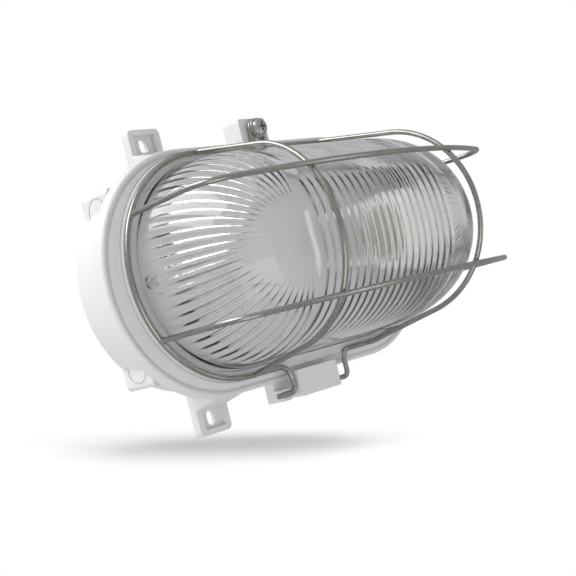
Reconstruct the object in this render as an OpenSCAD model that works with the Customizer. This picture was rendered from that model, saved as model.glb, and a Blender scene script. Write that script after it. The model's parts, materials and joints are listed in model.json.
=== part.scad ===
// Oval bulkhead wall light with a ribbed glass under a hinged wire guard.
// Frame: origin at the centre of the wall face, +X along the length, +Z up, the front faces -Y.
// Modules draw the light on its back, with its height off the wall along Z, and stand() sets it upright.

/* [Base] */
// Half of the straight part of the rim's oval
rim_straight = 46.5; // [40:0.5:60]
// Radius of the rim's round ends
rim_r = 55; // [53:0.5:60]
// Height of the raised lip round the glass
lip_h = 29; // [27:0.5:30]
// Height of the rim's underside
rim_under_h = 20; // [18:0.5:22]
// Radius of the housing at the wall
foot_r = 49; // [47:0.5:50]
// Thickness of the housing's floor
floor_t = 2.5; // [2:0.1:3.5]
// Height of the ledge that carries the gasket
ledge_h = 26; // [24:0.5:27]

/* [Guard] */
// Wire radius
wire_r = 1.2; // [0.9:0.1:1.3]
// Half of the straight part of the guard ring
ring_straight = 42; // [38:0.5:44]
// Radius of the guard ring's round ends, at the wire's centre
ring_r = 50; // [49:0.25:50.5]
// Height of the guard ring off the wall, at the wire's centre
ring_h = 32; // [31.8:0.1:33]
// Guard and glass sit this far above the housing's centre
guard_up = 1.3; // [0:0.1:2]
// Half distance between the feet of the two hoops
hoop_x = 40; // [34:0.5:41]
// Outward lean of the hoops
hoop_lean = 5.1; // [0:0.1:7]
// Height of the hoops over the ring
hoop_rise = 76.3; // [74:0.1:82]
// Radius of the hoops' round top
hoop_r = 43; // [40:0.5:45]
// Half distance between the two bars
bar_y = 26.5; // [22:0.5:30]
// Height of the bars over the ring at their middle
bar_rise = 74.2; // [73:0.1:74.4]
// Radius of the bars' long arch
bar_arch_r = 232; // [228:1:300]
// Radius of the bars' shoulders
shoulder_r = 16; // [8:1:22]
// Outward slope of the bars' legs
leg_lean = 8.5; // [2:0.5:12]

/* [Glass] */
// Radius of the glass at the foot of its dome
dome_r = 46; // [44:0.25:47]
// Height of the glass dome over its flange
dome_rise = 66; // [55:0.5:68]
// Wall thickness of the glass
glass_t = 3.4; // [2.5:0.1:4.5]
// Depth of the ribs and flutes on the inside
rib_depth = 1.1; // [0.3:0.1:1.6]
// Number of cross ribs in the middle
rib_count = 18; // [8:1:20]
// Number of radial flutes in each end
flute_count = 30; // [16:2:36]

/* [Fixings] */
// Distance of the lugs from the housing's centre, along its length
lug_x = 43; // [35:0.5:50]
// Half distance between the two fixing slots
lug_hole_y = 63; // [61.5:0.5:65]
// Radius of the fixing slots
lug_hole_r = 2.5; // [1.8:0.1:3]
// Height of the clamp screw above the housing's centre
screw_y = 60; // [58.5:0.1:61]
// Radius of the clamp screw's shank
screw_r = 2; // [1.6:0.1:2.1]
// Distance of the hinge axis below the housing's centre
hinge_y = 61; // [60.5:0.1:62]
// Height of the lamp's axis off the wall
lamp_h = 51; // [49:0.5:54]

/* [Hidden] */

// Facets of wire, of small holes, of pieces and of the large round ends
wire_fn = 20;
hole_fn = 32;
round_fn = 48;
end_fn = 72;
arch_fn = 180;
// Cut tools run past the faces they open by this much
past = 1;
// Turns used to place pieces
quarter = 90;
half_turn = 180;

// Housing
foot_round = 0.8;
side_r = 50.5;
bead_r = 54.3;
bead_h = 27.3;
step_r = 52.6;
step_h = 26.6;
bead_round = 0.8;
lip_r = 52;
lip_edge = 0.5;
lip_low_h = 27.6;
lip_slope_w = 5.5;
seat_straight = 42;
seat_r = 51.2;
ledge_r = 45.8;
hollow_straight = 44.5;
hollow_r = 47.2;
hollow_h = 18;
lug_w = 18.5;
lug_end_y = 70.2;
lug_in_y = 46;
lug_t = 4.5;
lug_round = 2.5;
lug_top_y = 54.5;
lug_foot_y = 58.5;
lug_pocket_w = 12;
lug_pocket_y = 67.6;
lug_pocket_t = 2;
slot_len = 7;
boss_x = 82.5;
boss_len = 16.5;
boss_in_y = 26.4;
boss_out_y = 42.6;
boss_round = 2;
boss_h = 18;
knock_r = 6;
knock_t = 0.4;
knock_w = 0.6;
tab_w = 17;
tab_end_y = 65.3;
tab_in_y = 50;
tab_round = 1.2;
tab_back_h = 20;
seat_gap = 0.2;
tab_front_h = ring_h - wire_r - seat_gap;
insert_r = 3.2;
insert_h = 7;
shank_gap = 0.05;
tab_hole_gap = 0.25;
clip_left = 14.6;
clip_right = 12;
clip_top_y = 51.8;
clip_end_y = 63.8;
clip_back_h = 21;
clip_front_h = 34;
clip_round = 1;
clip_ear_in = 20;
clip_ear_out = 24;
clip_ear_y = 58.6;
clip_web_h = 26.5;
pin_gap = 0.08;
clip_hole_end = 4;
post_r = 4;
post_hole_r = 1.6;
post_hole_depth = 9;
cable_hole_r = 7;
cable_hole_gap = 3;

// Gasket and glass
flange_straight = 42;
flange_r = 50.6;
flange_t = 3.2;
gasket_t = 1.3;
gasket_r = 51;
gasket_in_r = 46.4;
flange_h = ledge_h + gasket_t;
dome_h = flange_h + flange_t;
arch_share = 2.45;
dome_rows = 9;
ripple_fade = 3;
convex_hint = 6;
glass_look_share = 0.5;
inner_rise = dome_rise - glass_t;

// Guard
loop_y = screw_y - guard_up;
loop_r = 3.7;
loop_bend_r = 2.5;
hook_y = hinge_y + guard_up;
hook_bend_r = 3;
hook_neck_left_r = 7;
hook_neck_right_r = 5;
hook_left_x = -16.4;
hook_right_x = 20.2;
hook_left_end = -27.8;
hook_right_end = 6;
foot_lap = 0.4;
knuckle_share = 1.05;
bar_foot_out = 0.4;

// Clamp screw
washer_r = 4.6;
washer_t = 0.8;
washer_gap = 0.2;
washer_h = ring_h + wire_r + washer_gap;
head_h = washer_h + washer_t;
head_r = 4;
head_t = 2.6;
screw_end_h = 21.4;
recess_r = 2.1;
recess_w = 0.9;
recess_depth = 1.5;
head_shares = [[0, 0], [1, 0], [1, 0.45], [0.86, 0.8], [0.56, 0.97], [0, 1]];

// Reflector, lampholder and wiring
plate_straight = 42;
plate_r = 44.6;
plate_t = 0.8;
plate_h = 21;
plate_lip = 3.4;
plate_hole_r = 1.9;
small_head_r = 3.2;
small_head_t = 1.8;
small_shank_r = 1.5;
small_shank_len = 8;
slit_w = 0.8;
slit_depth = 0.8;
holder_x = 38;
holder_len = 28;
holder_r = 19;
holder_step_r = 17;
holder_step_len = 10;
holder_round = 1.5;
shell_back = 0.6;
shell_r = 14.2;
shell_in_r = 13.3;
shell_len = 21;
contact_r = 4.2;
contact_len = 2.4;
bracket_w = 26;
bracket_t = 1.5;
bracket_foot = 12;
bracket_x = holder_x + holder_len;
post_x = bracket_x + bracket_foot / 2;
cable_hole_x = post_x - post_r - cable_hole_gap - cable_hole_r;
bracket_top_h = 64;
bracket_screw_h = 10;
bracket_screw_len = 6;
block_x = 20;
block_len = 18;
block_w = 22;
block_t = 12;
block_hole_r = 2.2;
block_screw_deep = 7;
block_screw_t = 5.5;
lead_r = 1.1;
lead_y = 5.5;
lead_over_floor = 6;
lead_h = floor_t + lead_over_floor;
lead_up_x = 79;
lead_bend_r = 4;
lead_back_h = 44;
lead_hole_r = 2.2;
grommet_in_r = 3.5;
grommet_lip_r = 9;
grommet_lip_t = 1.6;

// Puts a piece drawn on its back upright, with its front along -Y
module stand() {
    rotate([quarter, 0, 0]) children();
}

// Solid with round ends: turns half a profile at each end and runs it between them
module oval_solid(straight, profile, fn) {
    for (side = [-1, 1])
        translate([side * straight, 0, 0])
            rotate([0, 0, -side * quarter])
                rotate_extrude(angle = half_turn, $fn = fn) polygon(profile);
    translate([-straight, 0, 0])
        rotate([quarter, 0, quarter])
            linear_extrude(height = 2 * straight)
                polygon(concat(profile, [for (i = [len(profile) - 1 : -1 : 0])
                    if (profile[i][0] > 0) [-profile[i][0], profile[i][1]]]));
}

// Flat oval slab between two heights
module oval_slab(straight, r, low, high, fn) {
    oval_solid(straight, [[0, low], [r, low], [r, high], [0, high]], fn);
}

function outer_profile() = [
    [0, 0],
    [foot_r - foot_round, 0],
    [foot_r, foot_round],
    [side_r, rim_under_h],
    [rim_r - bead_round, rim_under_h],
    [rim_r, rim_under_h + bead_round],
    [rim_r, bead_h - bead_round],
    [bead_r, bead_h],
    [step_r + lip_edge, bead_h],
    [step_r, step_h],
    [lip_r, step_h],
    [lip_r, lip_low_h],
    [lip_r - lip_slope_w, lip_h],
    [0, lip_h]];

module slot_hole(r, length, low, high) {
    for (side = [-1, 1])
        translate([0, side * (length / 2 - r), low])
            cylinder(r = r, h = high - low, $fn = hole_fn);
    translate([-r, -length / 2 + r, low]) cube([2 * r, length - 2 * r, high - low]);
}

// Upright block with its four standing edges rounded
module round_block(x_low, x_high, y_low, y_high, h_low, h_high, r) {
    translate([x_low + r, y_low, h_low]) cube([x_high - x_low - 2 * r, y_high - y_low, h_high - h_low]);
    translate([x_low, y_low + r, h_low]) cube([x_high - x_low, y_high - y_low - 2 * r, h_high - h_low]);
    for (x = [x_low + r, x_high - r], y = [y_low + r, y_high - r])
        translate([x, y, h_low]) cylinder(r = r, h = h_high - h_low, $fn = hole_fn);
}

// Wall lug at one long side: a flat pad, and a gusset that slopes from it up to the rim's underside
module lug(side) {
    round_block(-lug_x - lug_w / 2, -lug_x + lug_w / 2, side > 0 ? lug_in_y : -lug_end_y,
        side > 0 ? lug_end_y : -lug_in_y, 0, lug_t, lug_round);
    translate([-lug_x + lug_w / 2, 0, 0]) mirror([0, side > 0 ? 0 : 1, 0]) rotate([quarter, 0, -quarter])
        linear_extrude(lug_w)
            polygon([
                [-lug_in_y, 0],
                [-lug_in_y, rim_under_h + bead_round],
                [-lug_top_y, rim_under_h + bead_round],
                [-lug_foot_y, lug_t],
                [-lug_foot_y, 0]]);
}

// Fixing slot through the lug, and the shallow pocket round it
module lug_cut(side) {
    translate([-lug_x, side * lug_hole_y, 0]) slot_hole(lug_hole_r, slot_len, -past, lug_t + past);
    translate([-lug_x - lug_pocket_w / 2, side > 0 ? lug_foot_y + past : -lug_pocket_y, lug_t - lug_pocket_t])
        cube([lug_pocket_w, lug_pocket_y - lug_foot_y - past, lug_pocket_t + past]);
}

module knock_out(side) {
    y_mid = side * (boss_in_y + boss_out_y) / 2;
    translate([-boss_x - past, y_mid, boss_h / 2])
        rotate([0, quarter, 0])
            difference() {
                cylinder(r = knock_r, h = knock_t + past, $fn = hole_fn);
                translate([0, 0, -past])
                    cylinder(r = knock_r - knock_w, h = knock_t + past * 3, $fn = hole_fn);
            }
}

// Clip for the guard's hooks: a block, and a thin ear joined to it by a low web
module clip_block() {
    round_block(-clip_left, clip_right, -clip_end_y, -clip_top_y, clip_back_h, clip_front_h, clip_round);
    translate([-clip_ear_out, -clip_end_y, clip_back_h])
        cube([clip_ear_out - clip_ear_in, clip_end_y - clip_ear_y, ring_h - clip_back_h]);
    translate([-clip_ear_out, -clip_end_y, clip_back_h])
        cube([clip_ear_out + clip_round - clip_left, clip_end_y - clip_top_y, clip_web_h - clip_back_h]);
}

module base_housing() {
    color("whitesmoke") stand() difference() {
        union() {
            difference() {
                union() {
                    oval_solid(rim_straight, outer_profile(), end_fn);
                    for (side = [-1, 1]) {
                        lug(side);
                        round_block(-boss_x, boss_len - boss_x, side > 0 ? boss_in_y : -boss_out_y,
                            side > 0 ? boss_out_y : -boss_in_y, 0, boss_h, boss_round);
                    }
                    round_block(-tab_w / 2, tab_w / 2, tab_in_y, tab_end_y, tab_back_h, tab_front_h, tab_round);
                    clip_block();
                }
                oval_slab(hollow_straight, hollow_r, floor_t, hollow_h, end_fn);
                oval_slab(ring_straight, ledge_r, hollow_h - past, ledge_h + past, end_fn);
                translate([0, guard_up, 0])
                    oval_slab(seat_straight, seat_r, ledge_h, tab_front_h + past, end_fn);
            }
            for (side = [-1, 1])
                translate([side * post_x, 0, floor_t - past])
                    cylinder(r = post_r, h = plate_h - floor_t + past, $fn = hole_fn);
        }
        for (side = [-1, 1]) {
            translate([side * post_x, 0, plate_h - post_hole_depth])
                cylinder(r = small_shank_r, h = post_hole_depth + past, $fn = hole_fn);
            lug_cut(side);
            knock_out(side);
        }
        translate([0, screw_y, tab_back_h - past])
            cylinder(r = screw_r + tab_hole_gap, h = tab_front_h - tab_back_h + past * 2, $fn = hole_fn);
        translate([0, screw_y, tab_back_h - past])
            cylinder(r = insert_r, h = insert_h + past, $fn = hole_fn);
        for (span = [[-clip_ear_out - past, clip_ear_out - clip_ear_in + past * 2],
            [clip_hole_end, clip_right - clip_hole_end + past]])
            translate([span[0], -hinge_y, ring_h])
                rotate([0, quarter, 0])
                    cylinder(r = wire_r + pin_gap, h = span[1], $fn = hole_fn);
        translate([-cable_hole_x, 0, -past])
            cylinder(r = cable_hole_r, h = floor_t + past * 2, $fn = hole_fn);
    }
}

module glass_gasket() {
    color("gainsboro") stand() translate([0, guard_up, 0]) difference() {
        oval_slab(flange_straight, gasket_r, ledge_h, flange_h, end_fn);
        oval_slab(flange_straight, gasket_in_r, ledge_h - past, flange_h + past, end_fn);
    }
}

// Columns of the glass, in order round the oval: place on the spine, outward direction,
// whether the column is on a ridge, and how far its ripple fades towards the pole
function rib_x(j) = -flange_straight + flange_straight * j / rib_count;

function end_columns(side) = [for (i = [0 : 2 * flute_count])
    let (turn = -quarter + half_turn * i / (2 * flute_count))
    [[side * flange_straight, 0], [side * cos(turn), side * sin(turn)], i % 2, ripple_fade]];

function side_columns(side) = [for (j = [1 : 2 * rib_count - 1])
    [[rib_x(side > 0 ? 2 * rib_count - j : j), 0], [0, side], j % 2, 0]];

function all_columns() = concat(end_columns(1), side_columns(1), end_columns(-1), side_columns(-1));

// Share of the radius and of the height at one row of the dome
function row_turn(v) = quarter * v / dome_rows;
function row_out(v) = v == dome_rows ? 0 : pow(cos(row_turn(v)), 2 / arch_share);
function row_up(v) = v == 0 ? 0 : pow(sin(row_turn(v)), 2 / arch_share);

function ripple(ridge, fade, v) = v == 0 ? 0 :
    ridge * rib_depth * (fade > 0 ? 1 - pow(v / dome_rows, fade) : 1);

function column_point(column, r, h) = [
    column[0][0] + (r == 0 ? 0 : column[1][0] * r),
    r == 0 ? 0 : column[1][1] * r,
    h];

function column_points(column) = concat(
    [for (v = [dome_rows : -1 : 0])
        let (deep = ripple(column[2], column[3], v))
        column_point(column,
            v == dome_rows ? 0 : (dome_r - glass_t) * row_out(v) - deep * cos(row_turn(v)),
            flange_h + (inner_rise + flange_t) * row_up(v) - deep * sin(row_turn(v)))],
    [column_point(column, flange_r, flange_h), column_point(column, flange_r, dome_h)],
    [for (v = [0 : dome_rows])
        column_point(column, dome_r * row_out(v), dome_h + dome_rise * row_up(v))]);

module ribbed_glass() {
    columns = all_columns();
    count = len(columns);
    rows = 2 * dome_rows + 4;
    points = [for (column = columns) for (point = column_points(column)) point];
    faces = [for (c = [0 : count - 1]) for (k = [0 : rows - 2])
        let (a = c * rows + k)
        let (b = (c + 1) % count * rows + k)
        for (face = [[a, b, b + 1], [a, b + 1, a + 1]])
            if (points[face[0]] != points[face[1]] && points[face[1]] != points[face[2]]
                && points[face[0]] != points[face[2]]) face];
    color("azure", glass_look_share) stand() translate([0, guard_up, 0])
        polyhedron(points = points, faces = faces, convexity = convex_hint);
}

// Straight wire between two points, and a bent stretch about a centre in the XY plane
module wire_line(from, to) {
    way = to - from;
    length = norm(way);
    translate(from)
        rotate([0, acos(way[2] / length), atan2(way[1], way[0])])
            cylinder(r = wire_r, h = length, $fn = wire_fn);
}

// Rounded knuckle where a straight and a bent stretch meet off the square
module wire_knuckle(at) {
    translate(at) sphere(r = wire_r * knuckle_share, $fn = wire_fn);
}

module wire_bend(centre, r, start, turn, fn) {
    translate([centre[0], centre[1], 0])
        rotate([0, 0, start])
            rotate_extrude(angle = turn, $fn = fn)
                translate([r, 0]) circle(r = wire_r, $fn = wire_fn);
}

// Everything of the guard is drawn round the middle of its ring
module guard_place() {
    color("silver") stand() translate([0, guard_up, ring_h]) children();
}

module guard_ring() {
    loop_in = loop_r + loop_bend_r;
    loop_low = ring_r + loop_bend_r;
    hook_low = hook_y - hook_bend_r;
    guard_place() {
        for (side = [-1, 1]) {
            wire_bend([side * ring_straight, 0], ring_r, -side * quarter, half_turn, end_fn);
            wire_line([side * loop_in, ring_r, 0], [side * ring_straight, ring_r, 0]);
            wire_line([side * loop_r, loop_low, 0], [side * loop_r, loop_y, 0]);
            wire_bend([side * loop_in, loop_low], loop_bend_r, side > 0 ? half_turn : -quarter,
                quarter, round_fn);
        }
        wire_bend([0, loop_y], loop_r, 0, half_turn, round_fn);
        wire_line([-ring_straight, -ring_r, 0], [hook_left_x - hook_neck_left_r, -ring_r, 0]);
        wire_bend([hook_left_x - hook_neck_left_r, -ring_r - hook_neck_left_r], hook_neck_left_r, 0, quarter,
            round_fn);
        wire_line([hook_left_x, -ring_r - hook_neck_left_r, 0], [hook_left_x, -hook_low, 0]);
        wire_bend([hook_left_x - hook_bend_r, -hook_low], hook_bend_r, -quarter, quarter, round_fn);
        wire_line([hook_left_x - hook_bend_r, -hook_y, 0], [hook_left_end, -hook_y, 0]);
        wire_line([ring_straight, -ring_r, 0], [hook_right_x + hook_neck_right_r, -ring_r, 0]);
        wire_bend([hook_right_x + hook_neck_right_r, -ring_r - hook_neck_right_r], hook_neck_right_r, quarter,
            quarter, round_fn);
        wire_line([hook_right_x, -ring_r - hook_neck_right_r, 0], [hook_right_x, -hook_low, 0]);
        wire_bend([hook_right_x - hook_bend_r, -hook_low], hook_bend_r, -quarter, quarter, round_fn);
        wire_line([hook_right_x - hook_bend_r, -hook_y, 0], [hook_right_end, -hook_y, 0]);
    }
}

// A bar: two leaning legs, two rounded shoulders and a long shallow arch between them
bar_foot = [-ring_straight - sqrt(ring_r * ring_r - bar_y * bar_y) - bar_foot_out, 2 * wire_r - foot_lap];
leg_way = [-sin(leg_lean), cos(leg_lean)];
leg_in = [cos(leg_lean), sin(leg_lean)];
arch_centre = [0, bar_rise - bar_arch_r];
leg_offset = bar_foot + leg_in * shoulder_r - arch_centre;
leg_dot = leg_offset * leg_way;
leg_len = -leg_dot + sqrt(leg_dot * leg_dot - leg_offset * leg_offset
    + (bar_arch_r - shoulder_r) * (bar_arch_r - shoulder_r));
shoulder = bar_foot + leg_in * shoulder_r + leg_way * leg_len;
leg_top = bar_foot + leg_way * leg_len;
arch_turn = atan2(shoulder[1] - arch_centre[1], shoulder[0] - arch_centre[0]);
arch_end = arch_centre + bar_arch_r * [cos(arch_turn), sin(arch_turn)];

module guard_bar(side) {
    guard_place() translate([0, side * bar_y, 0]) {
        for (end = [-1, 1]) {
            wire_line([end * -bar_foot[0], 0, bar_foot[1]], [end * -leg_top[0], 0, leg_top[1]]);
            wire_knuckle([end * -leg_top[0], 0, leg_top[1]]);
            wire_knuckle([end * -arch_end[0], 0, arch_end[1]]);
        }
        rotate([quarter, 0, 0]) {
            wire_bend(shoulder, shoulder_r, arch_turn, half_turn + leg_lean - arch_turn, round_fn);
            wire_bend([-shoulder[0], shoulder[1]], shoulder_r, -leg_lean,
                half_turn + leg_lean - arch_turn, round_fn);
            wire_bend(arch_centre, bar_arch_r, half_turn - arch_turn, 2 * arch_turn - half_turn, arch_fn);
        }
    }
}

module guard_bar_upper() {
    guard_bar(1);
}

module guard_bar_lower() {
    guard_bar(-1);
}

// A hoop: two straight legs running into a round top, leaning outward
hoop_foot = [ring_r, 2 * wire_r - foot_lap];
hoop_centre_h = hoop_rise - hoop_r;
hoop_reach = norm([hoop_foot[0], hoop_foot[1] - hoop_centre_h]);
hoop_turn = atan2(hoop_foot[1] - hoop_centre_h, hoop_foot[0]) + acos(hoop_r / hoop_reach);
hoop_top = [hoop_r * cos(hoop_turn), hoop_centre_h + hoop_r * sin(hoop_turn)];

module guard_hoop(side) {
    guard_place() translate([side * hoop_x, 0, 0]) rotate([0, side * hoop_lean, 0]) {
        for (end = [-1, 1]) {
            wire_line([0, end * hoop_foot[0], hoop_foot[1]], [0, end * hoop_top[0], hoop_top[1]]);
            wire_knuckle([0, end * hoop_top[0], hoop_top[1]]);
        }
        rotate([quarter, 0, quarter])
            wire_bend([0, hoop_centre_h], hoop_r, hoop_turn, half_turn - 2 * hoop_turn, end_fn);
    }
}

module guard_hoop_left() {
    guard_hoop(-1);
}

module guard_hoop_right() {
    guard_hoop(1);
}

module clamp_screw() {
    color("silver") stand() translate([0, screw_y, 0]) difference() {
        union() {
            translate([0, 0, screw_end_h]) cylinder(r = screw_r, h = head_h - screw_end_h + seat_gap,
                $fn = hole_fn);
            translate([0, 0, head_h]) rotate_extrude($fn = hole_fn)
                polygon([for (share = head_shares) [share[0] * head_r, share[1] * head_t]]);
        }
        for (turn = [0, quarter])
            translate([0, 0, head_h + head_t - recess_depth])
                rotate([0, 0, turn])
                    translate([-recess_r, -recess_w / 2, 0]) cube([2 * recess_r, recess_w, recess_depth + past]);
    }
}

module clamp_washer() {
    color("silver") stand() translate([0, screw_y, washer_h]) difference() {
        cylinder(r = washer_r, h = washer_t, $fn = hole_fn);
        translate([0, 0, -past]) cylinder(r = screw_r + shank_gap, h = washer_t + past * 2, $fn = hole_fn);
    }
}

module tab_insert() {
    color("goldenrod") stand() translate([0, screw_y, tab_back_h]) difference() {
        cylinder(r = insert_r, h = insert_h, $fn = hole_fn);
        translate([0, 0, -past]) cylinder(r = screw_r + shank_gap, h = insert_h + past * 2, $fn = hole_fn);
    }
}

module reflector_plate() {
    color("gainsboro") stand() difference() {
        oval_slab(plate_straight, plate_r, plate_h, plate_h + plate_lip, end_fn);
        oval_slab(plate_straight, plate_r - plate_t, plate_h + plate_t, plate_h + plate_lip + past, end_fn);
        for (side = [-1, 1]) {
            translate([side * post_x, 0, plate_h - past])
                cylinder(r = plate_hole_r, h = plate_t + past * 2, $fn = hole_fn);
            translate([lead_up_x, side * lead_y, plate_h - past])
                cylinder(r = lead_hole_r, h = plate_t + past * 2, $fn = hole_fn);
        }
    }
}

// Small slotted screw, its head's underside at the origin and its head along +Z
module small_screw(shank_len) {
    difference() {
        union() {
            translate([0, 0, -shank_len]) cylinder(r = small_shank_r, h = shank_len + seat_gap, $fn = hole_fn);
            cylinder(r = small_head_r, h = small_head_t, $fn = hole_fn);
        }
        translate([-small_head_r - past, -slit_w / 2, small_head_t - slit_depth])
            cube([2 * (small_head_r + past), slit_w, slit_depth + past]);
    }
}

module reflector_screw_left() {
    color("silver") stand() translate([-post_x, 0, plate_h + plate_t]) small_screw(small_shank_len);
}

module reflector_screw_right() {
    color("silver") stand() translate([post_x, 0, plate_h + plate_t + bracket_t])
        small_screw(small_shank_len);
}

// Lampholder parts are turned about the lamp's axis, which runs along X
module lamp_axis(x) {
    stand() translate([x, 0, lamp_h]) rotate([0, quarter, 0]) children();
}

module lampholder_body() {
    color("ivory") lamp_axis(holder_x) difference() {
        rotate_extrude($fn = end_fn) polygon([
            [0, holder_len],
            [0, shell_len],
            [shell_r, shell_len],
            [shell_r, 0],
            [holder_r - holder_round, 0],
            [holder_r, holder_round],
            [holder_r, holder_len - holder_step_len],
            [holder_step_r, holder_len - holder_step_len],
            [holder_step_r, holder_len]]);
        for (side = [-1, 1])
            translate([side * bracket_screw_h, 0, holder_len - bracket_screw_len])
                cylinder(r = small_shank_r, h = bracket_screw_len + past, $fn = hole_fn);
    }
}

module lampholder_shell() {
    color("goldenrod") lamp_axis(holder_x) difference() {
        translate([0, 0, shell_back]) cylinder(r = shell_r, h = shell_len - shell_back * 2, $fn = end_fn);
        translate([0, 0, 0]) cylinder(r = shell_in_r, h = shell_len, $fn = end_fn);
    }
}

module lampholder_contact() {
    color("goldenrod") lamp_axis(holder_x + shell_len - contact_len)
        cylinder(r = contact_r, h = contact_len, $fn = hole_fn);
}

module holder_bracket() {
    color("silver") stand() difference() {
        union() {
            translate([bracket_x, -bracket_w / 2, plate_h + plate_t])
                cube([bracket_t, bracket_w, bracket_top_h - plate_h - plate_t]);
            translate([bracket_x, -bracket_w / 2, plate_h + plate_t])
                cube([bracket_foot, bracket_w, bracket_t]);
        }
        translate([post_x, 0, plate_h])
            cylinder(r = plate_hole_r, h = plate_t + bracket_t + past, $fn = hole_fn);
        for (side = [-1, 1]) {
            translate([bracket_x - past, 0, lamp_h + side * bracket_screw_h])
                rotate([0, quarter, 0]) cylinder(r = plate_hole_r, h = bracket_t + past * 2, $fn = hole_fn);
            translate([bracket_x - past, side * lead_y, lead_back_h])
                rotate([0, quarter, 0]) cylinder(r = lead_hole_r, h = bracket_t + past * 2, $fn = hole_fn);
        }
    }
}

module holder_screw(side) {
    color("silver") stand() translate([bracket_x + bracket_t, 0, lamp_h + side * bracket_screw_h])
        rotate([0, quarter, 0]) small_screw(bracket_screw_len);
}

module holder_screw_upper() {
    holder_screw(1);
}

module holder_screw_lower() {
    holder_screw(-1);
}

module terminal_block() {
    color("white") stand() difference() {
        translate([block_x, -block_w / 2, floor_t]) cube([block_len, block_w, block_t]);
        for (side = [-1, 1])
            translate([block_x + block_len / 2, side * lead_y, floor_t + block_t - block_screw_deep])
                cylinder(r = block_hole_r, h = block_screw_deep + past, $fn = hole_fn);
    }
}

module terminal_screw(side) {
    color("goldenrod") stand()
        translate([block_x + block_len / 2, side * lead_y, floor_t + block_t - block_screw_deep])
            difference() {
                cylinder(r = block_hole_r, h = block_screw_t, $fn = hole_fn);
                translate([-block_hole_r - past, -slit_w / 2, block_screw_t - slit_depth])
                    cube([2 * (block_hole_r + past), slit_w, slit_depth + past]);
            }
}

module terminal_screw_live() {
    terminal_screw(1);
}

module terminal_screw_neutral() {
    terminal_screw(-1);
}

// Lead from the terminal block, along the floor, up through the plate and back to the holder
module lead(side) {
    stand() translate([0, side * lead_y, 0]) {
        translate([block_x + block_len, 0, lead_h])
            rotate([0, quarter, 0])
                cylinder(r = lead_r, h = lead_up_x - lead_bend_r - block_x - block_len, $fn = wire_fn);
        translate([lead_up_x, 0, lead_h + lead_bend_r])
            cylinder(r = lead_r, h = lead_back_h - lead_h - 2 * lead_bend_r, $fn = wire_fn);
        translate([bracket_x, 0, lead_back_h])
            rotate([0, quarter, 0])
                cylinder(r = lead_r, h = lead_up_x - lead_bend_r - bracket_x, $fn = wire_fn);
        rotate([quarter, 0, 0]) {
            translate([lead_up_x - lead_bend_r, lead_h + lead_bend_r, 0])
                rotate([0, 0, -quarter]) rotate_extrude(angle = quarter, $fn = round_fn)
                    translate([lead_bend_r, 0]) circle(r = lead_r, $fn = wire_fn);
            translate([lead_up_x - lead_bend_r, lead_back_h - lead_bend_r, 0])
                rotate_extrude(angle = quarter, $fn = round_fn)
                    translate([lead_bend_r, 0]) circle(r = lead_r, $fn = wire_fn);
        }
    }
}

module lead_live() {
    color("brown") lead(1);
}

module lead_neutral() {
    color("steelblue") lead(-1);
}

module cable_grommet() {
    color("dimgray") stand() translate([-cable_hole_x, 0, 0]) difference() {
        union() {
            cylinder(r = cable_hole_r, h = floor_t, $fn = round_fn);
            translate([0, 0, floor_t]) cylinder(r = grommet_lip_r, h = grommet_lip_t, $fn = round_fn);
        }
        translate([0, 0, -past])
            cylinder(r = grommet_in_r, h = floor_t + grommet_lip_t + past * 2, $fn = round_fn);
    }
}

base_housing();
glass_gasket();
ribbed_glass();
guard_ring();
guard_bar_upper();
guard_bar_lower();
guard_hoop_left();
guard_hoop_right();
clamp_screw();
clamp_washer();
tab_insert();
reflector_plate();
reflector_screw_left();
reflector_screw_right();
lampholder_body();
lampholder_shell();
lampholder_contact();
holder_bracket();
holder_screw_upper();
holder_screw_lower();
terminal_block();
terminal_screw_live();
terminal_screw_neutral();
lead_live();
lead_neutral();
cable_grommet();
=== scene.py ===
import json
import math

import bmesh
import bpy
import numpy as np
from mathutils import Matrix, Vector

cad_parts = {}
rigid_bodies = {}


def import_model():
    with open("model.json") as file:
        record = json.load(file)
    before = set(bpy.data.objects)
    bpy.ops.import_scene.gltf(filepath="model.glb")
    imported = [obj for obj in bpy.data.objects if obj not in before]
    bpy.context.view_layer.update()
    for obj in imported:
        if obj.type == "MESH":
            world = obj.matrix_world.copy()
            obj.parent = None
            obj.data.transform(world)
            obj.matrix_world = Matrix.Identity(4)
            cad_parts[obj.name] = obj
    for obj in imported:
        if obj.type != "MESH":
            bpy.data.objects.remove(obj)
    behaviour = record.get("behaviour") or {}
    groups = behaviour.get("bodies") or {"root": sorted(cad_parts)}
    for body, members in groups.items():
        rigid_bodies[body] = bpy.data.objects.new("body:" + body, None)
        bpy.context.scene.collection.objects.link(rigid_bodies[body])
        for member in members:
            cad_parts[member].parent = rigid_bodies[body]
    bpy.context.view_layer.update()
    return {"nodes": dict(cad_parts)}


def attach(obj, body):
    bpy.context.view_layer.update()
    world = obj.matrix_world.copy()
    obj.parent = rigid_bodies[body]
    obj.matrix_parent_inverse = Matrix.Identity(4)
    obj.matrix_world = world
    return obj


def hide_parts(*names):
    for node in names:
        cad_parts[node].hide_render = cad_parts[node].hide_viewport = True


for o in list(bpy.data.objects):
    bpy.data.objects.remove(o, do_unlink=True)

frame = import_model()
nodes = frame["nodes"]
MM = 0.001


def new_object(name, data):
    ob = bpy.data.objects.new(name, data)
    bpy.context.scene.collection.objects.link(ob)
    return ob


def place(ob, x, y, z, at):
    """Sets an object's axes and origin."""
    ob.matrix_world = Matrix(((x.x, y.x, z.x, at.x), (x.y, y.y, z.y, at.y), (x.z, y.z, z.z, at.z), (0, 0, 0, 1)))


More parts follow.
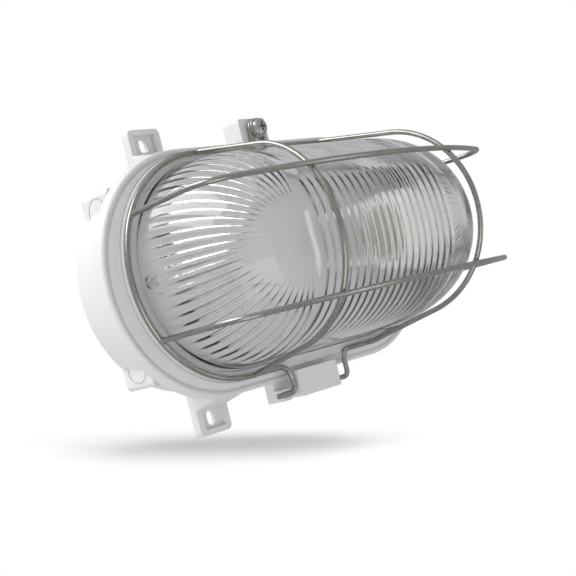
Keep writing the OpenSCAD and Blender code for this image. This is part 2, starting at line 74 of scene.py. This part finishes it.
# ---------------------------------------------------------------- camera, at the photograph's angle
FOCAL_PX, PICTURE_PX, SENSOR_MM = 1182.31, 576.0, 36.0
AZIMUTH, ELEVATION, ROLL = math.radians(-46.17), math.radians(-1.92), math.radians(-14.19)
AIM = Vector((-4.96, -32.0, -14.95)) * MM
DISTANCE = 538.63 * MM
view_back = Vector((math.sin(AZIMUTH) * math.cos(ELEVATION), -math.cos(AZIMUTH) * math.cos(ELEVATION),
                    math.sin(ELEVATION)))
level = (-view_back).cross(Vector((0, 0, 1))).normalized()
upright = level.cross(-view_back)
view_right = level * math.cos(ROLL) + upright * math.sin(ROLL)
view_up = upright * math.cos(ROLL) - level * math.sin(ROLL)
camera_at = AIM + view_back * DISTANCE
camera = new_object("camera", bpy.data.cameras.new("camera"))
camera.data.sensor_width = SENSOR_MM
camera.data.lens = FOCAL_PX / PICTURE_PX * SENSOR_MM
camera.data.clip_start = 0.01
place(camera, view_right, view_up, view_back, camera_at)
bpy.context.scene.camera = camera


def at_pixel(u, v, depth):
    """The point that shows at pixel u, v of the photo's framing, at a depth in metres from the camera."""
    x, y = (u - PICTURE_PX / 2) / FOCAL_PX, -(v - PICTURE_PX / 2) / FOCAL_PX
    return camera_at + (view_right * x + view_up * y - view_back) * depth


def toward(x, y, z):
    """Direction given as the camera sees it: right, up, and towards the camera."""
    return (view_right * x + view_up * y + view_back * z).normalized()


# ---------------------------------------------------------------- materials
class Graph:
    """Node tree of a material or world, emptied, with short ways to add nodes."""

    def __init__(self, owner):
        owner.use_nodes = True
        self.tree = owner.node_tree
        self.tree.nodes.clear()

    def add(self, kind, inputs=None, **settings):
        """Adds a node. Each input is set to its value, or joined where the value is another node's socket."""
        node = self.tree.nodes.new(kind)
        for name, value in settings.items():
            setattr(node, name, value)
        for key, value in (inputs or {}).items():
            if isinstance(value, bpy.types.NodeSocket):
                self.tree.links.new(value, node.inputs[key])
            else:
                node.inputs[key].default_value = value
        return node

    def noise(self, vector, scale, detail, roughness=0.5):
        return self.add("ShaderNodeTexNoise", {"Vector": vector, "Scale": scale, "Detail": detail,
                                               "Roughness": roughness}).outputs[0]

    def ramp(self, value, low, high, first=0.0, last=1.0, shape="LINEAR"):
        """Maps low-high to first-last, held at both ends."""
        return self.add("ShaderNodeMapRange", {"Value": value, "From Min": low, "From Max": high, "To Min": first,
                                               "To Max": last}, interpolation_type=shape).outputs[0]

    def mix(self, share, first, second):
        return self.add("ShaderNodeMix", {0: share, 6: first, 7: second}, data_type="RGBA").outputs[2]

    def math(self, operation, first, second, clamp=False):
        return self.add("ShaderNodeMath", {0: first, 1: second}, operation=operation, use_clamp=clamp).outputs[0]

    def along(self, direction):
        """How far the view ray or world direction points along a direction, -1 to 1."""
        place_in_world = self.add("ShaderNodeTexCoord").outputs["Generated"]
        return self.add("ShaderNodeVectorMath", {0: place_in_world, 1: tuple(direction)},
                        operation="DOT_PRODUCT").outputs["Value"]


DARKER = 0.85       # tone of the broad spots, where a material names none
DUST_TONE = (0.62, 0.6, 0.56, 1)
DUST_SCALE = 420.0


def principled(name, base, rough, rough_var, spots, spot_scale, grain, grain_scale, spot_to=None, metal=0.0,
               edge=0.0, dust=0.0, bump_dist=0.0004, extra=None):
    """Principled surface with broad tone drift, fine grain, varied roughness, rounded edges and dust on top."""
    mat = bpy.data.materials.new(name)
    g = Graph(mat)
    here = g.add("ShaderNodeTexCoord").outputs["Object"]
    spot = g.ramp(g.noise(here, spot_scale, 4.0, 0.55), 0.35, 0.7, last=spots)
    colour = g.mix(spot, (*base, 1), (*(spot_to or [c * DARKER for c in base]), 1))
    if dust:
        normal = g.add("ShaderNodeNewGeometry").outputs["Normal"]
        facing_up = g.add("ShaderNodeSeparateXYZ", {0: normal}).outputs["Z"]
        lying = g.math("MULTIPLY", facing_up, g.noise(here, DUST_SCALE, 6.0), clamp=True)
        colour = g.mix(g.math("MULTIPLY", lying, dust, clamp=True), colour, DUST_TONE)
    fine = g.noise(here, grain_scale, 3.0, 0.6)
    bump = {"Strength": grain, "Distance": bump_dist, "Height": fine}
    if edge:
        bump["Normal"] = g.add("ShaderNodeBevel", {"Radius": edge}, samples=4).outputs[0]
    shader = g.add("ShaderNodeBsdfPrincipled", {
        "Base Color": colour, "Metallic": metal,
        "Roughness": g.ramp(fine, 0.3, 0.75, rough - rough_var, rough + rough_var),
        "Normal": g.add("ShaderNodeBump", bump).outputs[0], **(extra or {})})
    g.add("ShaderNodeOutputMaterial", {"Surface": shader.outputs[0]})
    return mat


METAL_BUMP = 0.0001
white_plastic = principled("white_plastic", (0.81, 0.815, 0.815), rough=0.42, rough_var=0.06, spots=0.3,
                           spot_scale=22, spot_to=(0.74, 0.755, 0.75), grain=0.12, grain_scale=1600, edge=0.0007,
                           dust=0.06, extra={"Subsurface Weight": 0.06, "Subsurface Scale": 0.002})
gasket_rubber = principled("gasket_rubber", (0.70, 0.71, 0.69), rough=0.7, rough_var=0.08, spots=0.5,
                           spot_scale=90, grain=0.3, grain_scale=2200)
wire_steel = principled("wire_steel", (0.37, 0.368, 0.345), rough=0.3, rough_var=0.09, metal=1.0, spots=0.6,
                        spot_scale=160, spot_to=(0.27, 0.27, 0.245), grain=0.16, grain_scale=1900,
                        bump_dist=METAL_BUMP)
weld_steel = principled("weld_steel", (0.33, 0.32, 0.29), rough=0.42, rough_var=0.12, metal=1.0, spots=0.8,
                        spot_scale=900, spot_to=(0.20, 0.185, 0.16), grain=0.3, grain_scale=3200,
                        bump_dist=METAL_BUMP)
zinc = principled("zinc_plate", (0.50, 0.50, 0.48), rough=0.3, rough_var=0.1, metal=1.0, spots=0.6,
                  spot_scale=220, spot_to=(0.36, 0.35, 0.32), grain=0.15, grain_scale=2600, edge=0.0003,
                  bump_dist=METAL_BUMP)
brass = principled("plain_brass", (0.72, 0.52, 0.22), rough=0.28, rough_var=0.1, metal=1.0, spots=0.6,
                   spot_scale=180, spot_to=(0.5, 0.34, 0.13), grain=0.12, grain_scale=2600, bump_dist=METAL_BUMP)
aluminium = principled("pale_aluminium", (0.86, 0.86, 0.85), rough=0.55, rough_var=0.1, metal=0.5, spots=0.5,
                       spot_scale=200, spot_to=(0.5, 0.48, 0.44), grain=0.12, grain_scale=2400,
                       bump_dist=METAL_BUMP)
white_paint = principled("white_paint", (0.70, 0.70, 0.705), rough=0.35, rough_var=0.07, spots=0.4, spot_scale=40,
                         grain=0.2, grain_scale=700, edge=0.0004)
porcelain = principled("glazed_porcelain", (0.76, 0.75, 0.71), rough=0.14, rough_var=0.05, spots=0.4,
                       spot_scale=70, grain=0.05, grain_scale=500, edge=0.0006, extra={"Coat Weight": 0.5})
nylon = principled("terminal_nylon", (0.78, 0.78, 0.74), rough=0.45, rough_var=0.06, spots=0.4, spot_scale=120,
                   grain=0.15, grain_scale=1800, edge=0.0005)
brown_lead = principled("brown_lead", (0.16, 0.07, 0.035), rough=0.45, rough_var=0.08, spots=0.5, spot_scale=300,
                        grain=0.15, grain_scale=2000)
blue_lead = principled("blue_lead", (0.03, 0.10, 0.26), rough=0.45, rough_var=0.08, spots=0.5, spot_scale=300,
                       grain=0.15, grain_scale=2000)
black_rubber = principled("black_rubber", (0.035, 0.035, 0.035), rough=0.6, rough_var=0.1, spots=0.6,
                          spot_scale=140, spot_to=(0.07, 0.068, 0.065), grain=0.3, grain_scale=1500)


def glass_material():
    """Clear pressed glass: slightly uneven tone, polish and surface, and a faint darkening with thickness."""
    mat = bpy.data.materials.new("ribbed_clear_glass")
    g = Graph(mat)
    here = g.add("ShaderNodeTexCoord").outputs["Object"]
    shader = g.add("ShaderNodeBsdfPrincipled", {
        "Transmission Weight": 1.0, "IOR": 1.5,
        "Base Color": g.mix(g.noise(here, 35.0, 3.0), (0.99, 0.99, 0.985, 1), (0.96, 0.965, 0.965, 1)),
        "Roughness": g.ramp(g.noise(here, 260.0, 4.0), 0.35, 0.75, 0.03, 0.1),
        "Normal": g.add("ShaderNodeBump", {"Strength": 0.12, "Distance": 0.0008,
                                           "Height": g.noise(here, 90.0, 2.0)}).outputs[0]})
    absorbed = g.add("ShaderNodeVolumeAbsorption", {"Color": (0.04, 0.05, 0.09, 1), "Density": 28.0})
    g.add("ShaderNodeOutputMaterial", {"Surface": shader.outputs[0], "Volume": absorbed.outputs[0]})
    return mat


for material, names in (
        (white_plastic, "base_housing"),
        (gasket_rubber, "glass_gasket"),
        (wire_steel, "guard_ring guard_bar_upper guard_bar_lower guard_hoop_left guard_hoop_right"),
        (zinc, "clamp_screw clamp_washer reflector_screw_left reflector_screw_right"),
        (zinc, "holder_bracket holder_screw_upper holder_screw_lower"),
        (brass, "tab_insert lampholder_contact terminal_screw_live terminal_screw_neutral"),
        (white_paint, "reflector_plate"),
        (porcelain, "lampholder_body"),
        (aluminium, "lampholder_shell"),
        (nylon, "terminal_block"),
        (brown_lead, "lead_live"),
        (blue_lead, "lead_neutral"),
        (black_rubber, "cable_grommet")):
    for name in names.split():
        nodes[name].data.materials.clear()
        nodes[name].data.materials.append(material)


def mesh_object(name, verts, faces, material, weld):
    """Closed smooth mesh from points in millimetres, with points nearer than weld, in metres, made one."""
    me = bpy.data.meshes.new(name)
    me.from_pydata([tuple(v) for v in np.array(verts) * MM], [], faces)
    bm = bmesh.new()
    bm.from_mesh(me)
    bmesh.ops.remove_doubles(bm, verts=bm.verts, dist=weld)
    bmesh.ops.dissolve_degenerate(bm, dist=1e-7, edges=bm.edges)
    bmesh.ops.recalc_face_normals(bm, faces=bm.faces)
    bm.to_mesh(me)
    bm.free()
    for f in me.polygons:
        f.use_smooth = True
    me.materials.append(material)
    return new_object(name, me)


# ---------------------------------------------------------------- ribbed glass, in millimetres
# The dome is a long arch with round ends, its section a super-ellipse. In plan x runs along the light and z up,
# and heights are off the wall.
STRAIGHT = 42.0             # half of the straight part
DOME_R, GLASS_T, RISE = 46.0, 3.4, 66.0
ARCH = 2.45                 # power of the super-ellipse
GUARD_UP = 1.3              # glass and guard sit this far above the housing's centre
FLANGE_R, FLANGE_T, FLANGE_Y = 50.6, 3.2, 27.3
FLANGE_TOP = FLANGE_Y + FLANGE_T
FLANGE_CHAMFER, FLANGE_ROUND = 0.4, 0.6
FLANGE_EDGE = (             # radius and height, from the flange's underside out and up to the dome's foot
    (FLANGE_R - FLANGE_CHAMFER, FLANGE_Y), (FLANGE_R, FLANGE_Y + FLANGE_CHAMFER),
    (FLANGE_R, FLANGE_TOP - FLANGE_ROUND), (FLANGE_R - FLANGE_ROUND, FLANGE_TOP),
    (DOME_R + 0.7, FLANGE_TOP), (DOME_R + 0.15, FLANGE_TOP + 0.3))
POLE_X = 54.0               # the flutes of an end meet at this place in plan
POLE_CLEAR, POLE_FULL = 4.0, 17.0    # distance from it where the flutes begin, and where they have their full depth
FLUTES, FLUTE_STEPS = 30, 9
FLUTE_DEEP = 0.36           # depth as a share of the pitch
FLUTE_FAN = 1.16 * math.pi  # angle that the flutes of an end fan out over
# Shares of the rise: where the middle flute starts, how much higher the outer ones do, and where they deepen and fade
FLUTE_LOW, FLUTE_LAG, FLUTE_GROW, FLUTE_FADE = 0.03, 0.3, 0.42, (0.68, 0.95)
FLUTE_LOST = 0.86           # share of the depth that fades
RIBS, RIB_STEPS = 19, 12
RIB_SPAN = 44.2             # half of the stretch with ribs
RIB_DEEP = 0.25
RIB_UPPER, RIB_LOWER = (0.9, 0.93), (0.45, 0.8)     # shares of the rise where ribs begin, above and below
ROWS_IN, ROWS_OUT = 64, 32


def smoothstep(x, low, high):
    t = min(1.0, max(0.0, (x - low) / (high - low)))
    return t * t * (3 - 2 * t)


def wave(t):
    """Rounded ridge over one pitch, 0 in the valley and 1 on the crest."""
    return 0.5 - 0.5 * math.cos(2 * math.pi * t)


def shell_point(x, z, r_max, rise, base):
    """Height and outward normal of the dome over a place in plan."""
    xs = max(-STRAIGHT, min(STRAIGHT, x))
    r = math.hypot(x - xs, z)
    dx, dz = ((x - xs) / r, z / r) if r > 1e-9 else (0.0, 0.0)
    q = min(1.0, r / r_max) ** ARCH
    h = rise * max(0.0, 1 - q) ** (1 / ARCH)
    nr, nh = (r / r_max) ** (ARCH - 1) / r_max, (h / rise) ** (ARCH - 1) / rise
    ln = math.hypot(nr, nh)
    return base + h, (nr / ln * dx, nr / ln * dz, nh / ln)


def foot(u, r_max):
    """Foot of the dome in plan: u in 0-2 runs round a right-hand end, then along the upper side to the left."""
    if u <= 1:
        a = (u - 0.5) * math.pi
        return STRAIGHT + r_max * math.cos(a), r_max * math.sin(a)
    return STRAIGHT - 2 * STRAIGHT * (u - 1), r_max


def toward_foot(x0, foot_at, v):
    """Place in plan between the pole, at v = 1, and the foot, at v = 0, spaced evenly along the arch."""
    s = max(0.0, math.cos(v * math.pi / 2)) ** (2 / ARCH) if v < 1 else 0.0
    return s, x0 + (foot_at[0] - x0) * s, foot_at[1] * s


def flute_depth(turn, rho, share):
    """Depth of an end's flutes: turn is -1 to 1 across the fan, rho the distance from the pole."""
    low = FLUTE_LOW + FLUTE_LAG * abs(turn) ** 3
    full = FLUTE_DEEP * rho * FLUTE_FAN / FLUTES * smoothstep(share, low, low + FLUTE_GROW)
    full *= (1 - FLUTE_LOST * smoothstep(share, *FLUTE_FADE)) * smoothstep(rho, POLE_CLEAR, POLE_FULL)
    return full * wave((turn + 1) / 2 * FLUTES)


def rib_depth(x, z, share):
    """Depth of the cross ribs in the middle."""
    if abs(x) >= RIB_SPAN:
        return 0.0
    start = smoothstep(share, *(RIB_UPPER if z > 0 else RIB_LOWER))
    return RIB_DEEP * wave((x + RIB_SPAN) / (2 * RIB_SPAN) * RIBS) * start


def ribbed_glass():
    """The glass as columns of points, each from the pole down the inside, round the flange and up the outside."""
    columns = []
    n, m = FLUTES * FLUTE_STEPS, RIBS * RIB_STEPS
    for side in (1, -1):
        columns += [(side, i / n, POLE_X, -1 + 2 * i / n) for i in range(n)]
        columns += [(side, 1 + j / m, POLE_X - 2 * POLE_X * j / m, None) for j in range(m)]
    inner_r, inner_rise = DOME_R - GLASS_T, RISE - GLASS_T + FLANGE_T
    verts = []
    for side, u, x0, turn in columns:
        inner_foot = foot(u, inner_r)
        reach = math.hypot(inner_foot[0] - x0, inner_foot[1])
        for k in range(ROWS_IN + 1):
            s, x, z = toward_foot(x0, inner_foot, 1 - k / ROWS_IN)
            h, (nx, nz, nh) = shell_point(x, z, inner_r, inner_rise, FLANGE_Y)
            share = (h - FLANGE_Y) / inner_rise
            deep = rib_depth(x, side * z, share) if turn is None else flute_depth(turn, reach * s, share)
            verts.append((side * (x - nx * deep), -(h - nh * deep), GUARD_UP + side * (z - nz * deep)))
        for r, h in FLANGE_EDGE:
            x, z = foot(u, r)
            verts.append((side * x, -h, GUARD_UP + side * z))
        outer_foot = foot(u, DOME_R)
        for k in range(1, ROWS_OUT + 1):
            _, x, z = toward_foot(x0, outer_foot, k / ROWS_OUT)
            h, _ = shell_point(x, z, DOME_R, RISE, FLANGE_TOP)
            verts.append((side * x, -h, GUARD_UP + side * z))
    per = ROWS_IN + 1 + len(FLANGE_EDGE) + ROWS_OUT
    total = len(columns)
    faces = []
    for c in range(total):
        d = (c + 1) % total
        for k in range(per - 1):
            faces.append((c * per + k, d * per + k, d * per + k + 1, c * per + k + 1))
    return mesh_object("glass_dome", verts, faces, glass_material(), weld=2e-6)


glass = ribbed_glass()
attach(glass, "base")
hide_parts("ribbed_glass")
# The glass throws no shadow, so the inside is lit as in the photograph
glass.visible_shadow = False


# ---------------------------------------------------------------- lip of the gasket over the flange
LIP_GAP = 0.03              # off the glass
LIP_LOW, LIP_UNDER = FLANGE_Y + 0.1, FLANGE_TOP + LIP_GAP
LIP_SECTION = (             # radius and height: up the outside, over the rounded top and back under
    (FLANGE_R + LIP_GAP, LIP_LOW), (51.14, LIP_LOW), (51.17, 30.5), (51.05, 30.72), (50.8, 30.78),
    (47.3, 30.76), (47.0, 30.68), (46.9, LIP_UNDER), (FLANGE_R - 0.5, LIP_UNDER), (FLANGE_R + LIP_GAP, 30.0))
LIP_STEPS = 64


def oval_ring(name, section, material):
    """Sweeps a closed section of (radius, height) points round the oval of the glass."""
    turns = [(i / LIP_STEPS - 0.5) * math.pi for i in range(LIP_STEPS + 1)]
    path = [(side * STRAIGHT, side * math.cos(a), side * math.sin(a)) for side in (1, -1) for a in turns]
    verts = [(x + c * r, -h, GUARD_UP + s * r) for x, c, s in path for r, h in section]
    k, total = len(section), len(path)
    faces = []
    for i in range(total):
        here, there = i * k, (i + 1) % total * k
        faces += [(here + j, here + (j + 1) % k, there + (j + 1) % k, there + j) for j in range(k)]
    return mesh_object(name, verts, faces, material, weld=1e-7)


gasket_lip = oval_ring("gasket_lip", LIP_SECTION, gasket_rubber)
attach(gasket_lip, "base")

# ---------------------------------------------------------------- welds of the guard, in millimetres
# For each kind: place from the centre along and up, height off the wall, and half sizes along, up and off the wall
HOOP_FOOT = (40.2, 50.0, 33.55, (1.75, 1.3, 0.95))
BAR_FOOT = (84.7, 26.5, 33.55, (1.75, 1.35, 1.0))
CROSSING = (46.2, 25.9, 100.7, (1.35, 1.3, 0.8))
RING_REACH = 42.4           # the ring's round end reaches this far at a bar's foot
FOOT_TURN = math.atan2(BAR_FOOT[1], RING_REACH) + math.pi / 2
BEAD_ROWS, BEAD_COLS = 12, 20
LUMP, RIPPLE, WAIST = 0.12, 0.07, 0.1


def weld_beads():
    """Uneven lumps of weld where the guard's wires meet, each with an outline of its own."""
    corners = [(i, j) for i in (-1, 1) for j in (-1, 1)]
    beads = [(i, j, kind, i * j * FOOT_TURN if kind is BAR_FOOT else 0.0)
             for kind in (HOOP_FOOT, BAR_FOOT, CROSSING) for i, j in corners]
    verts, faces = [], []
    for k, (i_side, j_side, (out, up, h, size), turn) in enumerate(beads):
        x, y = i_side * out, GUARD_UP + j_side * up
        first = len(verts)
        for i in range(BEAD_ROWS + 1):
            a = math.pi * i / BEAD_ROWS
            for j in range(BEAD_COLS):
                b = 2 * math.pi * j / BEAD_COLS
                r = 1 + LUMP * math.sin(a) * math.sin(3 * b + 1.7 * k)
                r += RIPPLE * math.sin(a) * math.sin(5 * b - 4 * a + k) - WAIST * math.sin(2 * a) ** 2
                px, py = size[0] * r * math.sin(a) * math.cos(b), size[1] * r * math.sin(a) * math.sin(b)
                verts.append((x + px * math.cos(turn) - py * math.sin(turn), -h - size[2] * r * math.cos(a),
                              y + px * math.sin(turn) + py * math.cos(turn)))
        for i in range(BEAD_ROWS):
            n = first + i * BEAD_COLS
            faces += [(n + j, n + (j + 1) % BEAD_COLS, n + BEAD_COLS + (j + 1) % BEAD_COLS, n + BEAD_COLS + j)
                      for j in range(BEAD_COLS)]
    return mesh_object("guard_welds", verts, faces, weld_steel, weld=1e-6)


welds = weld_beads()
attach(welds, "guard")


# ---------------------------------------------------------------- floor
# A pale disc behind the light, at the height of the photo's shadow, so that the opened guard swings clear of it
FLOOR_PIXEL, FLOOR_DEPTH = (222, 443), 0.77
FLOOR_TILT, FLOOR_ROLL = math.radians(-3.7), math.radians(0.8)
FLOOR_R, FLOOR_FADE = 0.205, (0.02, 0.202)      # metres, from full at the centre to clear at the edge
FLOOR_GLOW = 0.2                                # strength that the camera and reflections see besides the light


def floor_material():
    """Pale matt floor that is white under its lamp and fades out towards its edge."""
    mat = bpy.data.materials.new("pale_floor")
    g = Graph(mat)
    rays = g.add("ShaderNodeLightPath").outputs
    seen = g.math("MAXIMUM", g.math("MAXIMUM", rays["Is Camera Ray"], rays["Is Glossy Ray"]),
                  rays["Is Transmission Ray"])
    glow = g.add("ShaderNodeEmission", {"Strength": g.math("MULTIPLY", seen, FLOOR_GLOW)})
    matt = g.add("ShaderNodeBsdfDiffuse", {"Color": (0.8, 0.8, 0.8, 1)})
    pale = g.add("ShaderNodeAddShader", {0: matt.outputs[0], 1: glow.outputs[0]})
    here = g.add("ShaderNodeTexCoord").outputs["Object"]
    out_from_centre = g.add("ShaderNodeVectorMath", {0: here}, operation="LENGTH").outputs["Value"]
    fade = g.ramp(out_from_centre, *FLOOR_FADE, shape="SMOOTHSTEP")
    clear = g.add("ShaderNodeBsdfTransparent")
    mixed = g.add("ShaderNodeMixShader", {0: fade, 1: pale.outputs[0], 2: clear.outputs[0]})
    g.add("ShaderNodeOutputMaterial", {"Surface": mixed.outputs[0]})
    return mat


def pale_floor():
    bm = bmesh.new()
    bmesh.ops.create_circle(bm, cap_ends=True, radius=FLOOR_R, segments=64)
    me = bpy.data.meshes.new("floor")
    bm.to_mesh(me)
    bm.free()
    me.materials.append(floor_material())
    ob = new_object("floor", me)
    along = toward(math.cos(FLOOR_ROLL), math.sin(FLOOR_ROLL), 0)
    normal = toward(0, math.cos(FLOOR_TILT), math.sin(FLOOR_TILT))
    normal = (normal - along * normal.dot(along)).normalized()
    place(ob, along, normal.cross(along), normal, at_pixel(*FLOOR_PIXEL, FLOOR_DEPTH))
    return ob


floor = pale_floor()
floor.visible_transmission = False
floor.visible_glossy = False

# ---------------------------------------------------------------- lamps
# Direction as right, up and towards the camera; distance, width and height in metres; power in watts
LAMPS = {
    "key_left": ((-1.0, 0.74, 0.12), 0.9, 1.0, 0.48, 6.2),
    "top": ((0.1, 1.0, 0.2), 0.8, 0.6, 0.6, 0.3),
    "front_fill": ((0.1, -0.6, 1.0), 1.2, 0.9, 0.9, 3.5),
    "strip_right": ((0.95, 0.15, 0.26), 0.85, 0.08, 0.8, 0.6),
    "over_the_floor": ((0.08, 0.5, 0.86), 0.8, 0.3, 0.3, 20.0),
}
LIT_PLACE = Vector((0, -0.05, 0))


def area(name, direction, distance, width, height, power):
    """Soft lamp that faces the light."""
    d = toward(*direction)
    lamp = bpy.data.lights.new(name, "AREA")
    lamp.shape = "RECTANGLE"
    lamp.size, lamp.size_y = width, height
    lamp.energy = power
    ob = new_object(name, lamp)
    ob.location = LIT_PLACE + d * distance
    ob.rotation_euler = (-d).to_track_quat("-Z", "Y").to_euler()
    return ob


def linked_to_floor(name, state):
    """Receivers of a lamp: everything but the floor, or the floor alone."""
    group = bpy.data.collections.new(name)
    group.objects.link(floor)
    group.collection_objects[0].light_linking.link_state = state
    return group


floor_left_out = linked_to_floor("floor_left_out", "EXCLUDE")
floor_alone = linked_to_floor("floor_alone", "INCLUDE")
for name, lamp in LAMPS.items():
    lights_floor = name == "over_the_floor"
    area(name, *lamp).light_linking.receiver_collection = floor_alone if lights_floor else floor_left_out

# ---------------------------------------------------------------- world
LIT_SIDE = toward(-0.8, -0.5, 0.33)
BRIGHT_SIDE = toward(-0.75, 0.65, 0)
DARK_SIDE = toward(0.15, -0.85, -0.4)
AMBIENT = (0.97, 0.985, 1.0, 1)
AMBIENT_LEVEL = (0.43, 0.82)    # away from the lit side, and towards it
ROOM_TONE, BRIGHT_TONE, DARK_TONE = (0.78, 0.78, 0.79, 1), (1.0, 1.0, 1.0, 1), (0.72, 0.72, 0.73, 1)
MIRROR_LEVEL = 0.62             # of the room in plain reflections, off the glass and metal


def studio_world():
    """White for the camera. Reflections and the glass see a pale room, brighter at the upper left and darker below
    and behind. The surfaces get soft light that is stronger from the left."""
    world = bpy.data.worlds.new("studio")
    bpy.context.scene.world = world
    g = Graph(world)
    ambient = g.ramp(g.along(LIT_SIDE), 0.1, 1.0, *AMBIENT_LEVEL, shape="SMOOTHSTEP")
    soft = g.add("ShaderNodeBackground", {"Color": AMBIENT, "Strength": ambient})
    room_tone = g.mix(g.ramp(g.along(BRIGHT_SIDE), 0.2, 0.8, shape="SMOOTHSTEP"), ROOM_TONE, BRIGHT_TONE)
    room_tone = g.mix(g.ramp(g.along(DARK_SIDE), 0.35, 0.95, shape="SMOOTHSTEP"), room_tone, DARK_TONE)
    rays = g.add("ShaderNodeLightPath").outputs
    mirror = g.math("SUBTRACT", rays["Is Glossy Ray"], rays["Is Transmission Ray"], clamp=True)
    room = g.add("ShaderNodeBackground", {"Color": room_tone,
                                          "Strength": g.ramp(mirror, 0.0, 1.0, 1.0, MIRROR_LEVEL)})
    white = g.add("ShaderNodeBackground", {"Color": (1, 1, 1, 1), "Strength": 1.0})
    sees_room = g.math("MAXIMUM", rays["Is Glossy Ray"], rays["Is Transmission Ray"])
    unseen = g.add("ShaderNodeMixShader", {0: sees_room, 1: soft.outputs[0], 2: room.outputs[0]})
    whole = g.add("ShaderNodeMixShader", {0: rays["Is Camera Ray"], 1: unseen.outputs[0], 2: white.outputs[0]})
    g.add("ShaderNodeOutputWorld", {"Surface": whole.outputs[0]})


studio_world()

bpy.context.scene.view_settings.view_transform = "Standard"
